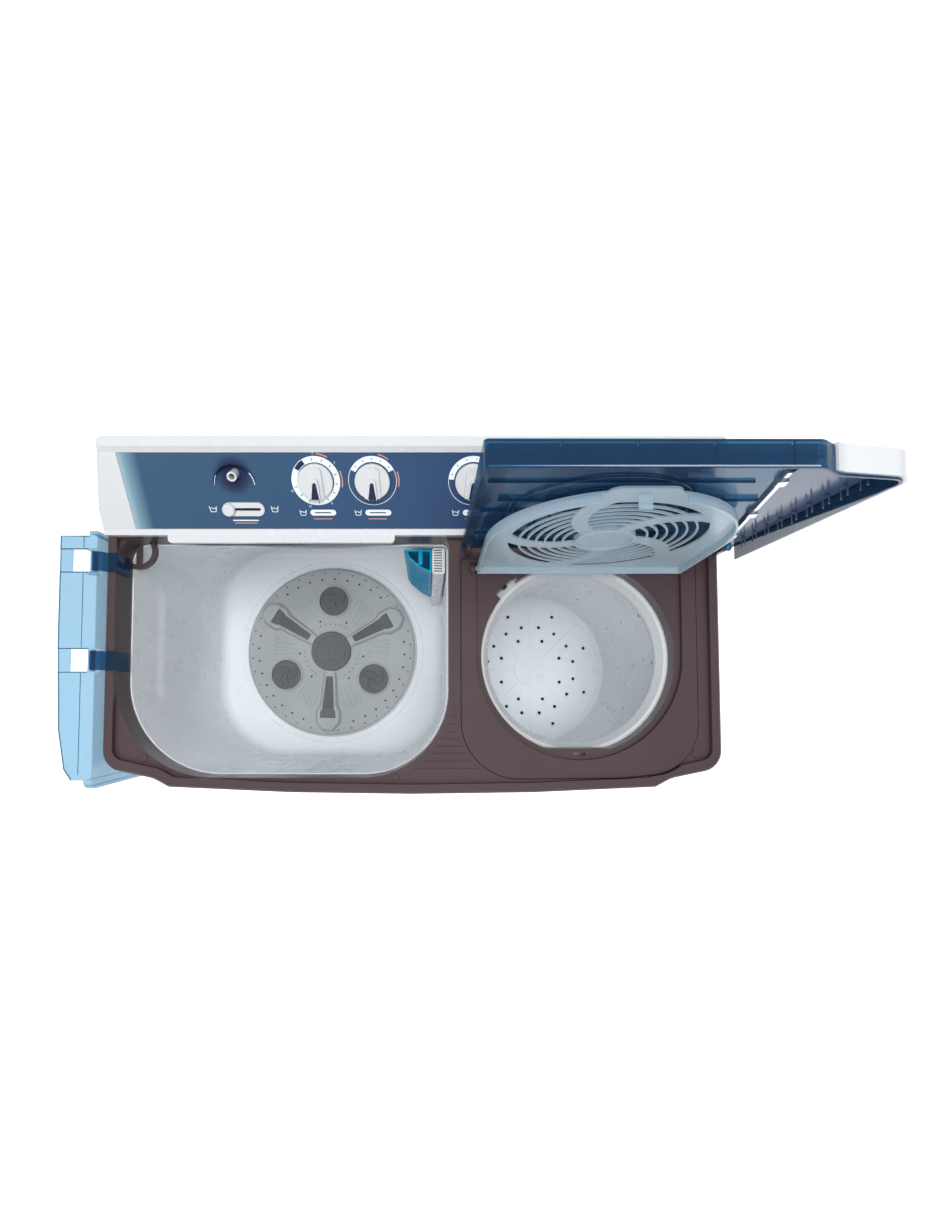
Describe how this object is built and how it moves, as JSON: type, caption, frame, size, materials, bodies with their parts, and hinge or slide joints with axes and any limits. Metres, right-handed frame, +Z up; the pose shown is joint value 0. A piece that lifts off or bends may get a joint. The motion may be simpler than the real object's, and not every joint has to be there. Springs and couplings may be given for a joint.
{
  "type": "twin tub washing machine",
  "caption": "Top-loading twin tub washer with a wide wash tub and pulsator, a round spin basket, hinged lids, a sloping control console and its drive underneath.",
  "frame": {"origin": "on the floor under the middle of the cabinet", "axes": "X to the right seen from the front, +Y to the back, +Z up; the front is -Y"},
  "size_m": [0.946, 0.4829, 1.291],
  "materials": {
    "cabinet_white": "satin",
    "galvanised": "dull",
    "deck_mauve": "glossy",
    "white_plastic": "glossy",
    "tub_white": "glossy",
    "grey_plastic": "satin",
    "dark_plastic": "satin",
    "filter_blue": "glossy",
    "lid_light_blue": "tinted clear plastic",
    "lid_dark_blue": "tinted clear plastic",
    "inner_lid_pale": "milky plastic",
    "panel_blue": "glossy",
    "steel": "brushed",
    "cast": "cast",
    "alloy": "cast",
    "black_rubber": "matt",
    "grey_rubber": "matt",
    "bright_trim": "bright"
  },
  "bodies": {
    "cabinet": {"base_tray": "grey_plastic", "feet": "black_rubber", "cabinet_shell": "cabinet_white", "back_cover": "galvanised", "back_cover_screws": "steel", "deck_frame": "deck_mauve", "deck_screw_caps": "deck_mauve", "spin_deck_insert": "deck_mauve", "hose_ring": "deck_mauve", "wash_tub": "tub_white", "filter_housing": "white_plastic", "spin_outer_tub": "white_plastic", "drive_plate": "galvanised", "gearbox_housing": "alloy", "wash_motor": "cast", "drive_belt": "black_rubber", "capacitor": "alloy", "spin_motor": "cast", "motor_springs": "steel", "shaft_bellows": "black_rubber", "drain_valve_body": "grey_plastic", "drain_hose": "grey_rubber", "drain_outlet": "grey_plastic", "cord_gland": "black_rubber", "console_housing": "white_plastic", "control_panel": "panel_blue", "panel_dials": "white_plastic", "water_selector_track": "white_plastic", "inlet_nozzle": "white_plastic", "wash_timer_unit": "grey_plastic", "wash_selector_switch": "grey_plastic", "drain_selector_cam": "grey_plastic", "spin_timer_unit": "grey_plastic", "wash_lid_brackets": "lid_dark_blue", "interlock_switch": "dark_plastic"},
    "wash_lid": {"wash_lid": "lid_light_blue"},
    "spin_lid": {"spin_lid_tray": "lid_dark_blue", "spin_lid_trim": "white_plastic", "spin_lid_seam": "bright_trim"},
    "inner_lid": {"inner_lid": "inner_lid_pale"},
    "pulsator": {"pulsator": "grey_plastic", "pulsator_inserts": "dark_plastic", "pulsator_cap": "dark_plastic"},
    "gearbox_pulley": {"gearbox_pulley": "alloy"},
    "motor_pulley": {"motor_pulley": "alloy"},
    "spin_basket": {"spin_basket": "tub_white", "balance_ring": "white_plastic", "spin_shaft": "steel", "brake_drum": "cast"},
    "brake_lever": {"brake_lever": "steel"},
    "lint_filter": {"lint_filter": "filter_blue"},
    "drain_valve_plunger": {"drain_valve_plunger": "black_rubber"},
    "water_selector_knob": {"water_selector_knob": "white_plastic"},
    "wash_timer_knob": {"wash_timer_knob": "white_plastic"},
    "wash_selector_knob": {"wash_selector_knob": "white_plastic"},
    "drain_selector_knob": {"drain_selector_knob": "white_plastic"},
    "spin_timer_knob": {"spin_timer_knob": "white_plastic"}
  },
  "joints": [
    {"name": "wash_lid_hinge", "type": "hinge", "parent": "cabinet", "child": "wash_lid", "pos_m": [-0.449, 0, 0.934], "axis": [0, 1, 0], "range_deg": [0, 180]},
    {"name": "spin_lid_hinge", "type": "hinge", "parent": "cabinet", "child": "spin_lid", "pos_m": [0.2, 0.105, 0.948], "axis": [1, 0, 0], "range_deg": [0, 90]},
    {"name": "inner_lid_hinge", "type": "hinge", "parent": "cabinet", "child": "inner_lid", "pos_m": [0.2395, 0.081, 0.919], "axis": [1, 0, 0], "range_deg": [0, 93.5]},
    {"name": "pulsator_spin", "type": "hinge", "parent": "cabinet", "child": "pulsator", "pos_m": [-0.1756, -0.0088, 0.54], "axis": [0, 0, 1], "continuous": true},
    {"name": "gearbox_pulley_spin", "type": "hinge", "parent": "cabinet", "child": "gearbox_pulley", "pos_m": [-0.1756, -0.0088, 0.396], "axis": [0, 0, 1], "continuous": true},
    {"name": "motor_pulley_spin", "type": "hinge", "parent": "cabinet", "child": "motor_pulley", "pos_m": [-0.32, -0.06, 0.396], "axis": [0, 0, 1], "continuous": true},
    {"name": "basket_spin", "type": "hinge", "parent": "cabinet", "child": "spin_basket", "pos_m": [0.2395, -0.046, 0.6], "axis": [0, 0, 1], "continuous": true},
    {"name": "brake_lever_hinge", "type": "hinge", "parent": "cabinet", "child": "brake_lever", "pos_m": [0.3155, -0.074, 0.287], "axis": [0, 0, 1], "range_deg": [-8, 0]},
    {"name": "lint_filter_lift", "type": "slide", "parent": "cabinet", "child": "lint_filter", "axis": [0, 0, 1], "range_m": [0, 0.15]},
    {"name": "drain_valve_lift", "type": "slide", "parent": "cabinet", "child": "drain_valve_plunger", "axis": [0, 0, 1], "range_m": [0, 0.012]},
    {"name": "water_selector_slide", "type": "slide", "parent": "cabinet", "child": "water_selector_knob", "axis": [1, 0, 0], "range_m": [0, 0.04]},
    {"name": "wash_timer_turn", "type": "hinge", "parent": "cabinet", "child": "wash_timer_knob", "pos_m": [-0.13, 0.18876, 0.97449], "axis": [0, -0.5807, 0.8141], "range_deg": [-300, 0]},
    {"name": "wash_selector_turn", "type": "hinge", "parent": "cabinet", "child": "wash_selector_knob", "pos_m": [-0.053, 0.18876, 0.97449], "axis": [0, -0.5807, 0.8141], "range_deg": [-60, 60]},
    {"name": "drain_selector_turn", "type": "hinge", "parent": "cabinet", "child": "drain_selector_knob", "pos_m": [0.083, 0.18876, 0.97449], "axis": [0, -0.5807, 0.8141], "range_deg": [-90, 0]},
    {"name": "spin_timer_turn", "type": "hinge", "parent": "cabinet", "child": "spin_timer_knob", "pos_m": [0.16, 0.18876, 0.97449], "axis": [0, -0.5807, 0.8141], "range_deg": [-300, 0]}
  ],
  "couplings": [
    {"joint": "gearbox_pulley_spin", "follows": "pulsator_spin", "ratio": 4},
    {"joint": "motor_pulley_spin", "follows": "pulsator_spin", "ratio": 13.818},
    {"joint": "brake_lever_hinge", "follows": "spin_lid_hinge", "ratio": -0.088889},
    {"joint": "inner_lid_hinge", "follows": "spin_lid_hinge", "ratio": 1.0389},
    {"joint": "drain_valve_lift", "follows": "drain_selector_turn", "m_per_rad": -0.0076}
  ]
}
